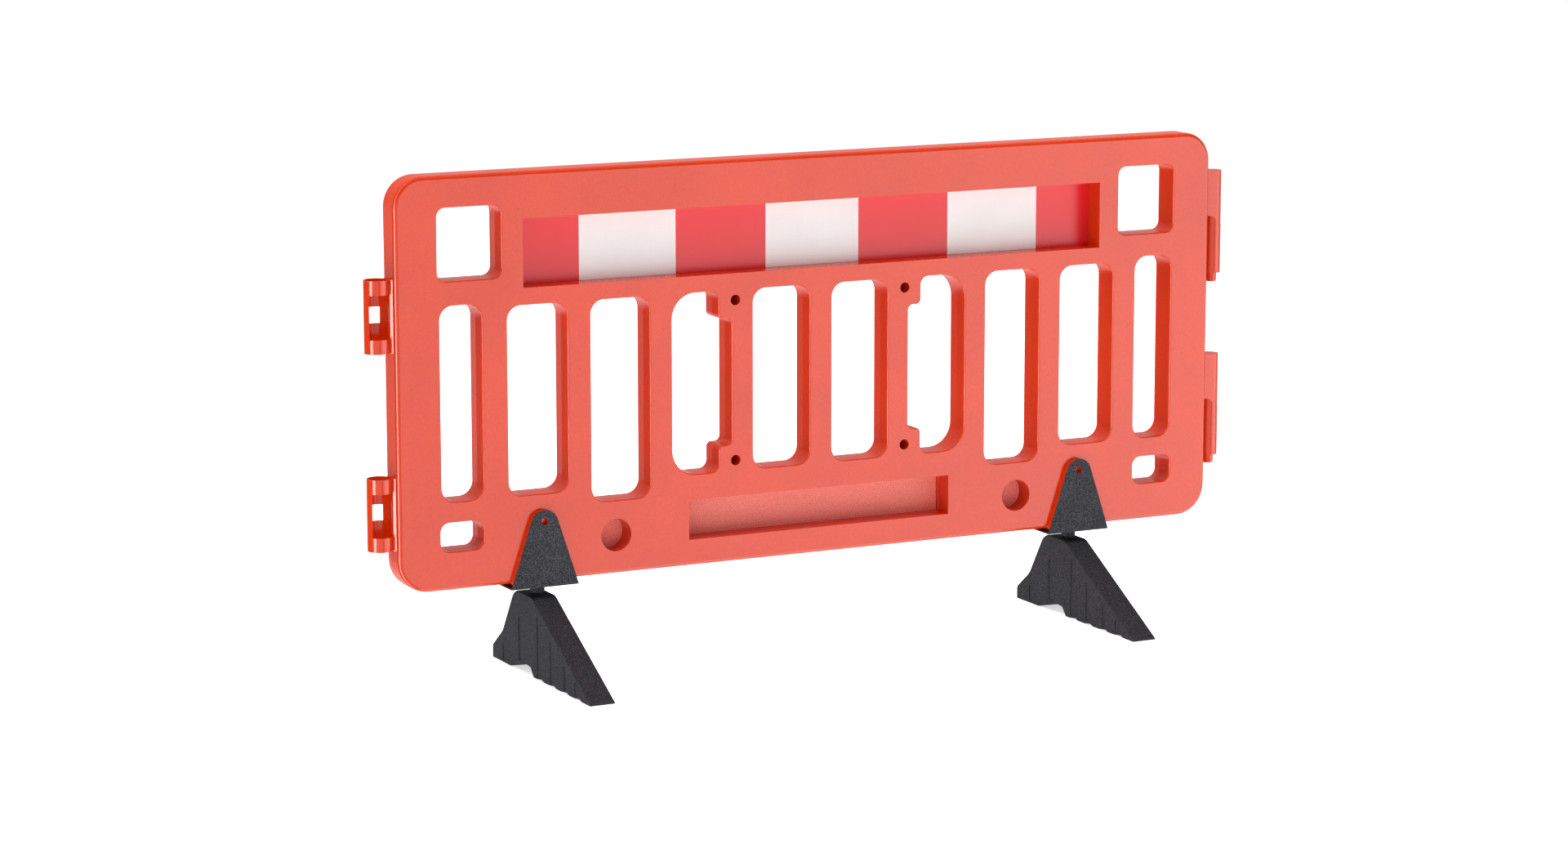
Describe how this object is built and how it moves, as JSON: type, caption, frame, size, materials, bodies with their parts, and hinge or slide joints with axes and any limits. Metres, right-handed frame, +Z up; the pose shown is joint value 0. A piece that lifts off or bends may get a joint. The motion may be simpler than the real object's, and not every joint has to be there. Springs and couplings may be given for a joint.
{
  "type": "pedestrian road barrier",
  "caption": "Moulded plastic road barrier with vertical slots, a recessed reflective band, hooks and sockets at its ends, and swivelling anti-trip feet.",
  "frame": {"origin": "centre of the whole barrier's bounding box, on the ground; the panel's front face is the plane Y = 41 mm", "axes": "+Z up, +X along the barrier from the socket end to the hook end, +Y from the reflective face to the back; the long toes of the feet point along -Y"},
  "size_m": [2, 0.492, 1.0365],
  "materials": {
    "orange_plastic": "smooth moulded polyethylene, semi-gloss",
    "red_sheeting": "retroreflective film",
    "white_sheeting": "retroreflective film",
    "dark_coated_steel": "textured powder coat",
    "zinc_steel": "zinc plated",
    "nylon": "moulded nylon",
    "dark_foot": "moulded recycled compound, fine texture"
  },
  "bodies": {
    "barrier": {"panel_moulding": "orange_plastic", "hinge_socket_upper": "orange_plastic", "hinge_hook_upper": "orange_plastic", "hinge_socket_lower": "orange_plastic", "hinge_hook_lower": "orange_plastic", "reflective_red_1": "red_sheeting", "reflective_red_2": "red_sheeting", "reflective_red_3": "red_sheeting", "reflective_red_4": "red_sheeting", "reflective_white_1": "white_sheeting", "reflective_white_2": "white_sheeting", "reflective_white_3": "white_sheeting", "left_saddle_bracket": "dark_coated_steel", "left_bracket_screws": "zinc_steel", "left_pivot_collar": "dark_coated_steel", "left_pivot_bolt": "zinc_steel", "left_pivot_washer": "zinc_steel", "left_lock_nut": "zinc_steel", "right_saddle_bracket": "dark_coated_steel", "right_bracket_screws": "zinc_steel", "right_pivot_collar": "dark_coated_steel", "right_pivot_bolt": "zinc_steel", "right_pivot_washer": "zinc_steel", "right_lock_nut": "zinc_steel"},
    "left_foot": {"left_foot_block": "dark_foot", "left_foot_bush": "nylon"},
    "right_foot": {"right_foot_block": "dark_foot", "right_foot_bush": "nylon"}
  },
  "joints": [
    {"name": "left_foot_swivel", "type": "hinge", "parent": "barrier", "child": "left_foot", "pos_m": [-0.633, 0.072, 0], "axis": [0, 0, 1], "continuous": true},
    {"name": "right_foot_swivel", "type": "hinge", "parent": "barrier", "child": "right_foot", "pos_m": [0.6255, 0.072, 0], "axis": [0, 0, 1], "continuous": true}
  ]
}
